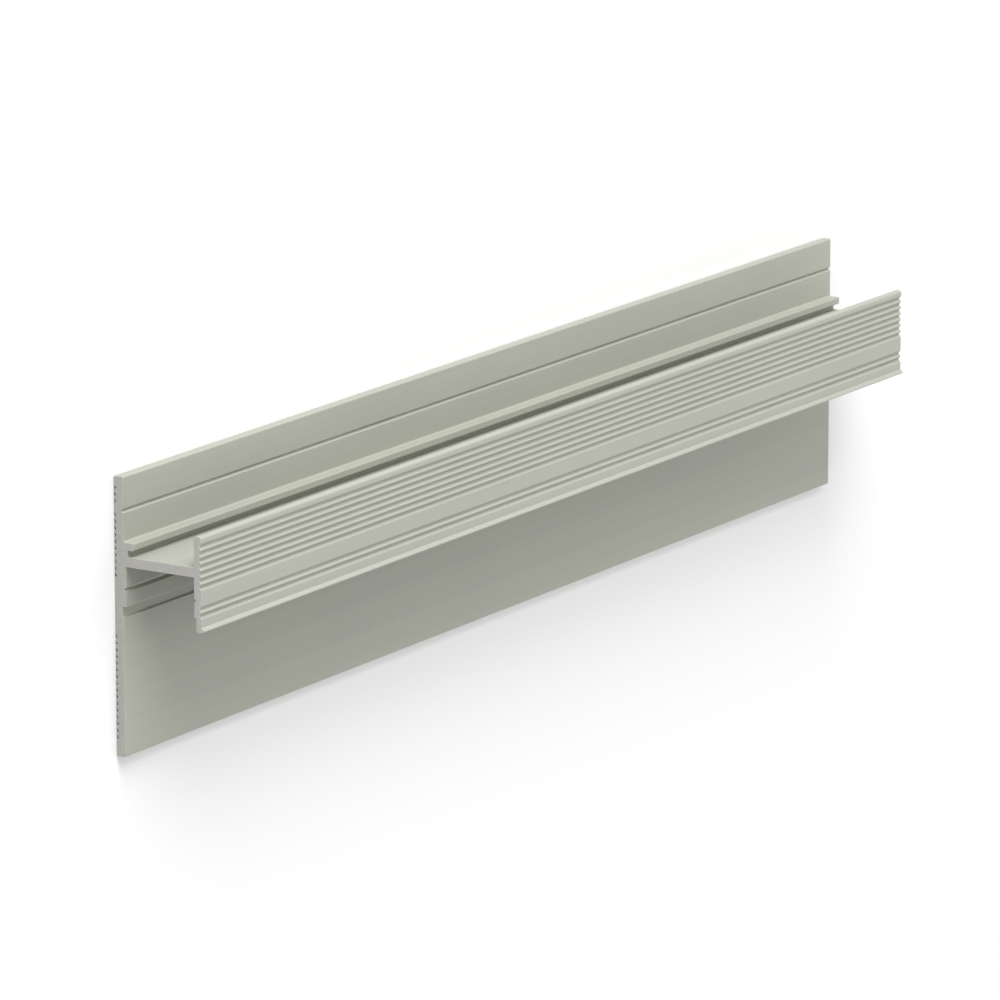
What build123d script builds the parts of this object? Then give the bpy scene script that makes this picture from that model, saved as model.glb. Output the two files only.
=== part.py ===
from build123d import *
import math
import os

# A skirting profile for a shadow gap: one extruded aluminium section, sawn to length.
# It lies on its wall face: X runs along it, +Y is up when it is fixed, +Z is away from the wall.
# Heights are measured up from the bottom edge, depths out from the wall face, both in millimetres.

# Wall plate
profile_length = 246.0
plate_height = 50.0
plate_thickness = 1.9
top_corner_radius = 0.3
bottom_corner_radius = 0.4

# Wallboard channel: a ledge behind the board, a web under it and a flange in front of it
board_thickness = 12.5
board_clearance = 0.1
web_underside = 34.1
web_thickness = 1.75
clip_slot_height = 1.2
clip_slot_depth = 1.25
ledge_thickness = 1.35
ledge_reach = 4.0
ledge_corner_radius = 0.25
ledge_root_radius = 0.3
web_root_radius = 0.15

# Front flange, well rounded on top, with a pointed lip that stops the plaster
flange_rise = 5.5
flange_tail = 2.6
flange_thickness = 1.5
flange_top_radius = 0.6
flange_heel_radius = 0.35
lip_reach = 0.65
lip_tip_height = 0.4
lip_top_height = 0.95
lip_tip_radius = 0.12
lip_root_radius = 0.15

# Recess under the web, with facing notches and catches for a strip that clips in
pad_thickness = 0.5
catch_drop = 7.1
catch_root_radius = 0.15
relief_depth = 0.35
relief_height = 1.75
relief_slope = 0.3
flange_relief_depth = 0.4
notch_drop = 4.05
notch_depth = 0.45
notch_angle = 90.0

# Narrow sight groove in the face of the upper plate
sight_groove_drop = 6.05
sight_groove_depth = 0.45
sight_groove_angle = 85.0

# Key flutes, which hold adhesive on the wall face and plaster on the flange: V-shaped, with a
# rounded root, and a narrow ridge between one and the next.
# The rows are listed from the bottom up, and each starts above a flat land of its own height.
flute_pitch = 1.2
flute_depth = 0.45
flute_angle = 95.0
flute_root_radius = 0.15
wall_lands = [2.85, 9.7, 1.2]
wall_flute_counts = [16, 10, 3]
flange_lands = [2.4, 2.65]
flange_flute_counts = [2, 7]

# Derived heights and depths
web_top = web_underside + web_thickness
ledge_underside = web_top + clip_slot_height
ledge_top = ledge_underside + ledge_thickness
slot_wall = ledge_reach - clip_slot_depth
pad_front = plate_thickness + pad_thickness
catch_height = web_underside - catch_drop
notch_height = web_underside - notch_drop
relief_bottom = catch_height - relief_height
flange_back = ledge_reach + board_thickness + board_clearance
flange_front = flange_back + flange_thickness
flange_bottom = catch_height - flange_tail
flange_top = web_top + flange_rise
sight_groove_height = plate_height - sight_groove_drop


def block(low, high, back, front):
    """A rectangle of the section between two heights and two depths."""
    middle = (low + high - plate_height) / 2
    return Pos(middle, (back + front) / 2) * Rectangle(high - low, front - back)


def patch(*corners):
    """A closed outline through corners that are given as height and depth."""
    points = [(height - plate_height / 2, depth) for height, depth in corners]
    return make_face(Polyline(*points, close=True))


def rounded(shape, height, depth, radius):
    """The shape with its corner nearest to a height and depth rounded off."""
    spot = Vector(height - plate_height / 2, depth)
    corner = min(shape.vertices(), key=lambda vertex: (Vector(vertex.X, vertex.Y) - spot).length)
    return fillet(corner, radius)


def vee(height, face, depth, angle, inward):
    """A V-shaped cut into a face, with inward +1 for a cut that runs away from the wall."""
    overshoot = 2 * depth
    half_mouth = overshoot * math.tan(math.radians(angle / 2))
    root = face + inward * depth
    mouth = root - inward * overshoot
    return patch((height - half_mouth, mouth), (height + half_mouth, mouth), (height, root))


def flutes(start, lands, counts, face, inward):
    """Rows of V-shaped flutes cut into a face at one pitch, upwards from a start height."""
    half_angle = math.radians(flute_angle / 2)
    point_depth = flute_depth + flute_root_radius * (1 / math.sin(half_angle) - 1)
    cut = vee(start, face, point_depth, flute_angle, inward)
    cut = rounded(cut, start, face + inward * point_depth, flute_root_radius)
    cuts = []
    rise = 0
    for land, count in zip(lands, counts):
        rise += land
        for index in range(count):
            cuts.append(Pos(rise + (index + 0.5) * flute_pitch, 0) * cut)
        rise += count * flute_pitch
    return cuts


# Plate, pad, ledge, web and flange
section = block(0, plate_height, 0, plate_thickness)
section += block(catch_height, web_top, 0, pad_front)
section += block(web_underside, ledge_top, 0, slot_wall)
section += block(ledge_underside, ledge_top, 0, ledge_reach)
section += block(web_underside, web_top, 0, flange_front)
section += block(flange_bottom, flange_top, flange_back, flange_front)
section += patch(
    (flange_bottom, flange_front),
    (flange_bottom + lip_tip_height, flange_front + lip_reach),
    (flange_bottom + lip_top_height, flange_front),
)

# Shallow relief in the plate below the catch, with a sloping lower side, and the one facing it
section -= patch(
    (catch_height, plate_thickness - relief_depth),
    (catch_height, pad_front),
    (relief_bottom - relief_slope, pad_front),
    (relief_bottom - relief_slope, plate_thickness),
    (relief_bottom, plate_thickness - relief_depth),
)
section -= block(flange_bottom, catch_height, flange_back, flange_back + flange_relief_depth)

# Corners as the die leaves them
corners = [
    (0, 0, bottom_corner_radius),
    (0, plate_thickness, bottom_corner_radius),
    (plate_height, 0, top_corner_radius),
    (plate_height, plate_thickness, top_corner_radius),
    (ledge_top, plate_thickness, ledge_root_radius),
    (ledge_top, ledge_reach, ledge_corner_radius),
    (ledge_underside, ledge_reach, ledge_corner_radius),
    (web_top, slot_wall, web_root_radius),
    (web_top, flange_back, web_root_radius),
    (web_underside, flange_back, web_root_radius),
    (web_underside, pad_front, web_root_radius),
    (catch_height, plate_thickness - relief_depth, catch_root_radius),
    (catch_height, flange_back + flange_relief_depth, catch_root_radius),
    (flange_bottom, flange_back + flange_relief_depth, flange_heel_radius),
    (flange_bottom + lip_tip_height, flange_front + lip_reach, lip_tip_radius),
    (flange_bottom + lip_top_height, flange_front, lip_root_radius),
    (flange_top, flange_back, flange_top_radius),
    (flange_top, flange_front, flange_top_radius),
]
for height, depth, radius in corners:
    section = rounded(section, height, depth, radius)

# Notches facing each other across the recess, and the sight groove
section -= vee(notch_height, pad_front, notch_depth, notch_angle, -1)
section -= vee(notch_height, flange_back, notch_depth, notch_angle, 1)
section -= vee(sight_groove_height, plate_thickness, sight_groove_depth, sight_groove_angle, -1)

# Key flutes on the wall face and on the front of the flange
section -= flutes(0, wall_lands, wall_flute_counts, 0, 1)
section -= flutes(flange_bottom, flange_lands, flange_flute_counts, flange_front, -1)

# One solid, drawn out along the length from the middle
profile = extrude(Plane.YZ * section, amount=profile_length / 2, both=True)
profile.label = "skirting_profile"

os.makedirs("parts", exist_ok=True)
export_step(profile, "parts/skirting_profile.step")

print("section area", round(section.area, 2), "mm2")
print("volume", round(profile.volume, 0), "mm3")
print("bounds", profile.bounding_box())
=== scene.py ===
# %% [markdown]
# # A shadow gap skirting profile in satin aluminium
# The object is one length of extruded aluminium, lying on the face that is fixed to the wall. Its
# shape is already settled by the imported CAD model, which this lesson loads as a fixed frame. What
# is left to do here is what a workshop does last: break the sharp edges, give the metal its
# finish, and light it for a picture.

import math

import bpy
from mathutils import Matrix, Vector


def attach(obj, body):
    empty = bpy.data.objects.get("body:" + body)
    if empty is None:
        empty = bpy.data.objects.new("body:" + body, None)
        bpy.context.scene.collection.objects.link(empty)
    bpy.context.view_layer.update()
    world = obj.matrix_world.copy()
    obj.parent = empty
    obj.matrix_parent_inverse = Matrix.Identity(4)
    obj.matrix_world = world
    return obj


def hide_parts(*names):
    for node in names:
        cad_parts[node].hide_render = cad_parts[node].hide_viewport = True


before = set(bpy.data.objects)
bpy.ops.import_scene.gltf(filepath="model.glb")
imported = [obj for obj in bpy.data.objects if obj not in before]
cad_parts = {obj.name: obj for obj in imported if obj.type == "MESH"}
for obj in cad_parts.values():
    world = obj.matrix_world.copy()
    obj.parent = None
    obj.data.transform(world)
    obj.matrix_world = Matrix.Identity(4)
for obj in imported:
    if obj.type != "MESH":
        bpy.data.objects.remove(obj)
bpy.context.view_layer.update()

# %% [markdown]
# ## The camera
# The photograph looks down the length of the profile from beyond its near end, with the wall
# plate's top edge upwards in the picture. It was taken from well back through a long lens, so the
# far end is only a little smaller than the near one. A camera could be placed by eye and nudged.
# Here its place comes from the picture's own perspective: the long edges give the direction, and
# the ratio of the two ends gives the distance. Pointing it needs three directions at right
# angles: right, up and backwards.

# %% Camera
def aim(place, target, upwards):
    """A matrix that puts an object at a place, looking at a target, one direction upwards."""
    backwards = (place - target).normalized()
    right = upwards.cross(backwards).normalized()
    up = backwards.cross(right)
    turn = Matrix((right, up, backwards)).transposed().to_4x4()
    return Matrix.Translation(place) @ turn


camera_place = Vector((-1.1713, 0.3227, 0.7351))
camera_target = Vector((-0.0120, -0.0004, 0.0090))
plate_up = Vector((0, 1, 0))

camera = bpy.data.objects.new("camera", bpy.data.cameras.new("camera"))
camera.data.sensor_width = 36.0
camera.data.lens = 274.6
camera.data.clip_start = 0.1
camera.data.clip_end = 20.0
camera.matrix_world = aim(camera_place, camera_target, plate_up)
bpy.context.collection.objects.link(camera)
bpy.context.scene.camera = camera
bpy.context.scene.view_settings.view_transform = "Standard"
print("camera to profile, m:", round((camera_place - camera_target).length, 3))

# %% [markdown]
# ## Joining the triangles
# The shape is right already, but the CAD mesh is loose triangles, and edges can't be broken on
# those. The whole section could be drawn again here, which would only add chances to get it
# wrong. A copy of the mesh is used instead: its corners are merged and its flat areas joined
# again, so that what comes next follows the outline and not the triangles.

# %% A copy of the profile, joined
def select_only(piece):
    """Leave one object selected and active."""
    bpy.ops.object.select_all(action="DESELECT")
    piece.select_set(True)
    bpy.context.view_layer.objects.active = piece


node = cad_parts["skirting_profile"]
profile = bpy.data.objects.new("profile_with_broken_edges", node.data.copy())
bpy.context.collection.objects.link(profile)
select_only(profile)

merge_distance = 1e-6
flat_angle = math.radians(0.5)
bpy.ops.object.mode_set(mode="EDIT")
bpy.ops.mesh.select_all(action="SELECT")
bpy.ops.mesh.remove_doubles(threshold=merge_distance)
bpy.ops.mesh.dissolve_limited(angle_limit=flat_angle)
bpy.ops.object.mode_set(mode="OBJECT")
print("faces after joining the flats:", len(profile.data.polygons))

# %% [markdown]
# ## Breaking the edges
# An extrusion has no truly sharp edge: the die leaves a tiny radius on every ridge, and the saw's
# burr is taken off at the ends. A rim of 0.04 mm is too small to see as a shape, yet it catches
# the light as a fine line. The shader could fake it, but the mesh would then still be sharp.
# Here a bevel takes the edges that are really corners: the ridges between the flutes, the lips of
# the grooves and the sawn ends. The rounded roots of the flutes and the other soft corners are
# left alone.

# %% Bevel the corners
corner_angle = math.radians(35)
edge_break = 0.00004

bevel = profile.modifiers.new("broken edges", "BEVEL")
bevel.width = edge_break
bevel.segments = 2
bevel.limit_method = "ANGLE"
bevel.angle_limit = corner_angle
bevel.use_clamp_overlap = False
bpy.ops.object.modifier_apply(modifier=bevel.name)
bpy.ops.object.shade_smooth_by_angle(angle=corner_angle)

weighted = profile.modifiers.new("flat faces stay flat", "WEIGHTED_NORMAL")
weighted.keep_sharp = True
bpy.ops.object.modifier_apply(modifier=weighted.name)

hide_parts("skirting_profile")
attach(profile, "root")
print("faces after the bevel:", len(profile.data.polygons))

# %% [markdown]
# ## Writing finishes as sums
# A finish is a small program made of nodes. Wiring each one by hand is long and hard to read, so
# this cell wraps a socket in a class that knows the usual signs: adding two of them adds a Math
# node. Every other kind of node comes from one method, which takes its type, its settings and
# what goes into its sockets.

# %% A class for sockets and one for finishes
class Wire:
    """An output socket that takes part in sums."""

    def __init__(self, finish, socket):
        self.finish = finish
        self.socket = socket

    def maths(self, operation, *values):
        return self.finish.node("Math", {"operation": operation}, dict(enumerate(values)))

    def __add__(self, other):
        return self.maths("ADD", self, other)

    def __radd__(self, other):
        return self.maths("ADD", other, self)

    def __sub__(self, other):
        return self.maths("SUBTRACT", self, other)

    def __rsub__(self, other):
        return self.maths("SUBTRACT", other, self)

    def __mul__(self, other):
        return self.maths("MULTIPLY", self, other)

    def __rmul__(self, other):
        return self.maths("MULTIPLY", other, self)

    def __abs__(self):
        return self.maths("ABSOLUTE", self)

    def clamped(self, low, high):
        """The same value, stretched so that low becomes 0 and high becomes 1."""
        sockets = {"Value": self, "From Min": low, "From Max": high}
        return self.finish.node("MapRange", {"clamp": True}, sockets, "Result")


class Finish:
    """A node tree, with one method that adds a node of any kind."""

    def __init__(self, tree):
        self.tree = tree
        tree.nodes.clear()

    def node(self, kind, settings=None, sockets=None, output=0):
        made = self.tree.nodes.new("ShaderNode" + kind)
        for name, value in (settings or {}).items():
            setattr(made, name, value)
        for key, value in (sockets or {}).items():
            if isinstance(value, Wire):
                self.tree.links.new(value.socket, made.inputs[key])
            else:
                made.inputs[key].default_value = value
        if made.outputs:
            return Wire(self, made.outputs[output])

    def mixed_colour(self, share, first, second):
        """One colour giving way to another, by a share from 0 to 1."""
        return self.node("Mix", {"data_type": "RGBA"}, {0: share, 6: first, 7: second}, 2)

    def stretched(self, place, scale):
        """Coordinates multiplied along each axis."""
        return self.node("VectorMath", {"operation": "MULTIPLY"}, {0: place, 1: scale})

    def noise(self, place, detail):
        """Soft noise with cells one unit wide, about 0.5 on average."""
        sockets = {"Vector": place, "Scale": 1.0, "Detail": detail}
        return self.node("TexNoise", {"noise_dimensions": "3D"}, sockets, "Fac")


def new_finish(name):
    """A new material and the Finish that fills it."""
    material = bpy.data.materials.new(name)
    material.use_nodes = True
    return material, Finish(material.node_tree)


# %% [markdown]
# ## Satin aluminium
# The profile is anodised to a soft satin, a light grey with a slight green cast. Pulled through
# the die, it keeps very faint lines along its length, and the anodising is never perfectly even.
# The lines could be drawn one by one, but noise does it with no drawing: it is stretched until
# its cells run along the length and are a fraction of a millimetre across it. Wider cells of
# the same kind give bands, and rounder ones give the clouds of the anodising.

# %% The satin of the long faces
metal, satin = new_finish("satin aluminium")
place = satin.node("TexCoord", output="Object")

line_cells = (9.0, 5200.0, 5200.0)
band_cells = (5.0, 700.0, 700.0)
cloud_cells = (28.0, 60.0, 60.0)
die_lines = satin.noise(satin.stretched(place, line_cells), 2.0)
die_bands = satin.noise(satin.stretched(place, band_cells), 1.0)
clouds = satin.noise(satin.stretched(place, cloud_cells), 3.0)

noise_low, noise_high = 0.3, 0.7
satin_light = (0.48, 0.483, 0.427, 1.0)
satin_dark = (0.434, 0.446, 0.402, 1.0)
satin_tone = (0.3 * die_bands + 0.4 * clouds + 0.3 * die_lines).clamped(noise_low, noise_high)
long_face_colour = satin.mixed_colour(satin_tone, satin_dark, satin_light)
long_face_roughness = 0.74 + 0.06 * die_lines + 0.05 * clouds
print("die lines apart, mm:", round(1000 / line_cells[1], 2))

# %% [markdown]
# ## Sawn ends
# The sawn ends and the rims deburred around them are bare metal: a more neutral grey, with the
# saw blade's fine arcs across it. Two materials could meet at the ends, but one is enough here:
# the surface's own direction says which faces were sawn. The arcs are noise on the distance from
# the blade's centre, far outside the section.

# %% The sawn ends
sawn_from, sawn_fully = 0.5, 0.7
direction = satin.node("TexCoord", output="Normal")
along = satin.node("SeparateXYZ", sockets={0: direction})
sawn = abs(along).clamped(sawn_from, sawn_fully)

blade_centre = (0.0, -0.11, -0.07)
blade_plane = (0.0, 1.0, 1.0)
arcs_per_metre = 4200.0
from_blade = satin.node(
    "VectorMath",
    {"operation": "DISTANCE"},
    {0: satin.stretched(place, blade_plane), 1: blade_centre},
    "Value",
)
arc_place = satin.node("CombineXYZ", sockets={"X": arcs_per_metre * from_blade})
saw_arcs = satin.noise(arc_place, 2.0)

grain_cells = (1500.0, 1500.0, 1500.0)
grain = satin.noise(satin.stretched(place, grain_cells), 3.0)

sawn_light = (0.49, 0.484, 0.459, 1.0)
sawn_dark = (0.428, 0.422, 0.401, 1.0)
sawn_tone = (0.6 * saw_arcs + 0.4 * grain).clamped(noise_low, noise_high)
sawn_colour = satin.mixed_colour(sawn_tone, sawn_dark, sawn_light)
sawn_roughness = 0.72 + 0.1 * saw_arcs
print("saw arcs apart, mm:", round(1000 / arcs_per_metre, 2))

# %% [markdown]
# ## Painted edge highlights
# Every ridge and corner, the hollow ones too, is painted a little brighter than the faces: this is
# a painted highlight along the edges, and the roughness there is also made a little smoother.
# Painting that by hand would have to be done again for each change of shape. Here the surface finds
# its own
# edges: close to one, the direction of a slightly rounded surface differs from the direction of the
# face itself. Soft noise then breaks the painted highlight up along the length.

# %% The painted edge highlights
highlight_reach = 0.00013
rounded = satin.node("Bevel", {"samples": 4}, {"Radius": highlight_reach})
own = satin.node("NewGeometry", output="True Normal")
agreement = satin.node("VectorMath", {"operation": "DOT_PRODUCT"}, {0: rounded, 1: own}, "Value")

bend_low, bend_high = 0.015, 0.1
patch_cells = (90.0, 400.0, 400.0)
patch_low, patch_high = 0.3, 0.6
bend = (1.0 - agreement).clamped(bend_low, bend_high)
patches = satin.noise(satin.stretched(place, patch_cells), 2.0).clamped(patch_low, patch_high)
# Painted highlight: this mask brightens the colour along edges and corners. It is not worn metal.
painted_highlight_mask = bend * patches
painted_highlight_colour = (0.66, 0.66, 0.62, 1.0)
print("painted_glint reaches, mm:", round(1000 * highlight_reach, 2))

# %% [markdown]
# ## One surface
# The long faces, the sawn ends and the painted edge highlight are parts of one surface, so each
# takes its share of one metal shader. Three shaders could be mixed instead, which costs more and
# looks much the same. The die's lines and the saw's arcs also stand up a little, by a small bump:
# real relief that fine would need millions of faces.

# %% Put the finish together
faces_colour = satin.mixed_colour(sawn, long_face_colour, sawn_colour)
# The edge mask mixes a painted highlight colour into the surface, and below it makes those edges
# smoother.
colour = satin.mixed_colour(painted_highlight_mask, faces_colour, painted_highlight_colour)
faces_roughness = long_face_roughness + sawn * (sawn_roughness - long_face_roughness)
roughness = faces_roughness - 0.12 * painted_highlight_mask

relief_strength = 0.12
relief_height = 0.00002
relief = die_lines + sawn * (saw_arcs - die_lines)
bumped = satin.node(
    "Bump",
    sockets={"Strength": relief_strength, "Distance": relief_height, "Height": relief},
)
surface = satin.node(
    "BsdfPrincipled",
    sockets={"Base Color": colour, "Metallic": 1.0, "Roughness": roughness, "Normal": bumped},
)
satin.node("OutputMaterial", sockets={"Surface": surface})

for mesh in (profile.data, node.data):
    mesh.materials.clear()
    mesh.materials.append(metal)
print("nodes in the satin finish:", len(satin.tree.nodes))

# %% [markdown]
# ## The floor
# The profile lies on a plain white floor that has no visible edge. Strong lamps could burn any
# floor out to white, but they would wash out the metal and the shadow with it. Instead the floor
# is pale matt paper, far wider than the picture, in a shade that comes out just white under the
# light that suits the metal. Matt paper also sends that light back up evenly, which softens the
# shade under the flange.

# %% Floor
floor_across = 12.0
bpy.ops.object.select_all(action="DESELECT")
bpy.ops.mesh.primitive_plane_add(size=floor_across, location=(0, 0, 0))
floor = bpy.context.active_object
floor.name = "floor"

paper_white = (0.71, 0.71, 0.71, 1.0)
paper, sheet = new_finish("white floor")
matt = sheet.node("BsdfDiffuse", sockets={"Color": paper_white})
sheet.node("OutputMaterial", sockets={"Surface": matt})
floor.data.materials.append(paper)
print("floor across, m:", floor_across)

# %% [markdown]
# ## The light
# The picture's light is soft. Its brightest part comes from beyond the plate's top edge: faces
# that look that way are brightest, and the lower plate lies in the flange's gentle shade. Satin
# metal shows whatever is around it, so a dark room with strong lamps would turn it hard and
# patchy. A plain white sky does most of the work here, as a white tent does in a studio, and the
# lamps only add the direction.

# %% Sky
sky_white = (1.0, 1.0, 1.0, 1.0)
sky_strength = 1.0
studio = bpy.data.worlds.new("soft studio")
studio.use_nodes = True
bpy.context.scene.world = studio
sky = Finish(studio.node_tree)
tent = sky.node("Background", sockets={"Color": sky_white, "Strength": sky_strength})
sky.node("OutputWorld", sockets={"Surface": tent})
print("sky strength:", sky_strength)

# %% [markdown]
# ## The lamps
# One lamp could not be both: high enough to fill the channel, and low enough to leave the whole
# lower plate in shade. Two large ones at different heights act as one broad window on that side,
# and both stand a little towards the near end, where they also light the sawn face. A small lamp
# beyond the far end lifts the faces that look straight up from the floor.

# %% Lamps
wall_face_middle = Vector((0, 0, 0))
lamp_up = Vector((0, 0.01, 1))


def add_lamp(name, place, width, height, watts):
    """A rectangular soft lamp that looks at the profile."""
    data = bpy.data.lights.new(name, "AREA")
    data.shape = "RECTANGLE"
    data.size = width
    data.size_y = height
    data.energy = watts
    lamp = bpy.data.objects.new(name, data)
    lamp.matrix_world = aim(Vector(place), wall_face_middle, lamp_up)
    bpy.context.collection.objects.link(lamp)


add_lamp("large soft lamp", (-0.6, 1.75, 1.0), 1.4, 1.0, 32.0)
add_lamp("low soft lamp", (-0.6, 2.0, 0.66), 1.4, 0.9, 30.0)
add_lamp("far lamp", (2.0, 0.2, 0.45), 0.8, 0.6, 3.2)
